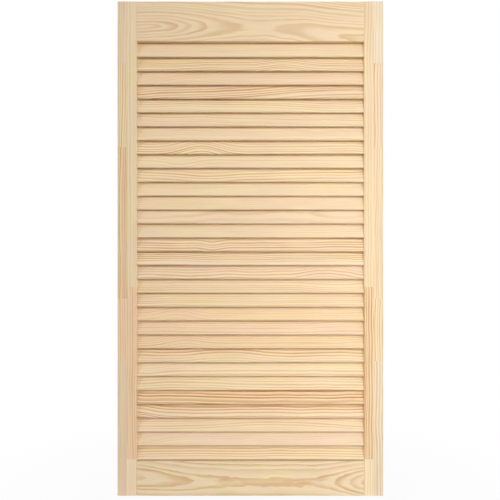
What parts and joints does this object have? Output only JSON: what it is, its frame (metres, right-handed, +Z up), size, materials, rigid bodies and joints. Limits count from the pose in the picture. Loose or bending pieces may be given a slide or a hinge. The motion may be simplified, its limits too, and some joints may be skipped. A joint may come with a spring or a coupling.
{
  "type": "slatted cabinet door",
  "caption": "Tall framed cabinet door in bare solid pine, with fixed leaning slats housed in finger-jointed stiles between a top and a bottom rail, undrilled so that it hangs on either edge.",
  "frame": {"origin": "middle of the door's bottom edge, at half its width and half its thickness", "axes": "+X to the right seen from the front, +Y from the front face to the back, +Z up"},
  "size_m": [0.594, 0.02, 1.105],
  "materials": {
    "pine_slat": "planed, unfinished pine",
    "pine_rail": "planed, unfinished pine",
    "pine_stile": "planed, unfinished pine",
    "beech_dowel": "turned, unfinished beech"
  },
  "bodies": {
    "root": {"slat_01": "pine_slat", "slat_02": "pine_slat", "slat_03": "pine_slat", "slat_04": "pine_slat", "slat_05": "pine_slat", "slat_06": "pine_slat", "slat_07": "pine_slat", "slat_08": "pine_slat", "slat_09": "pine_slat", "slat_10": "pine_slat", "slat_11": "pine_slat", "slat_12": "pine_slat", "slat_13": "pine_slat", "slat_14": "pine_slat", "slat_15": "pine_slat", "slat_16": "pine_slat", "slat_17": "pine_slat", "slat_18": "pine_slat", "slat_19": "pine_slat", "slat_20": "pine_slat", "slat_21": "pine_slat", "slat_22": "pine_slat", "slat_23": "pine_slat", "slat_24": "pine_slat", "slat_25": "pine_slat", "slat_26": "pine_slat", "slat_27": "pine_slat", "slat_28": "pine_slat", "slat_29": "pine_slat", "slat_30": "pine_slat", "top_rail": "pine_rail", "bottom_rail": "pine_rail", "left_stile_outer_1": "pine_stile", "left_stile_outer_2": "pine_stile", "left_stile_outer_3": "pine_stile", "left_stile_outer_4": "pine_stile", "left_stile_outer_5": "pine_stile", "left_stile_inner_1": "pine_stile", "left_stile_inner_2": "pine_stile", "left_stile_inner_3": "pine_stile", "right_stile_outer_1": "pine_stile", "right_stile_outer_2": "pine_stile", "right_stile_outer_3": "pine_stile", "right_stile_outer_4": "pine_stile", "right_stile_outer_5": "pine_stile", "right_stile_inner_1": "pine_stile", "right_stile_inner_2": "pine_stile", "right_stile_inner_3": "pine_stile", "dowels_top_left": "beech_dowel", "dowels_top_right": "beech_dowel", "dowels_bottom_left": "beech_dowel", "dowels_bottom_right": "beech_dowel"}
  },
  "joints": []
}
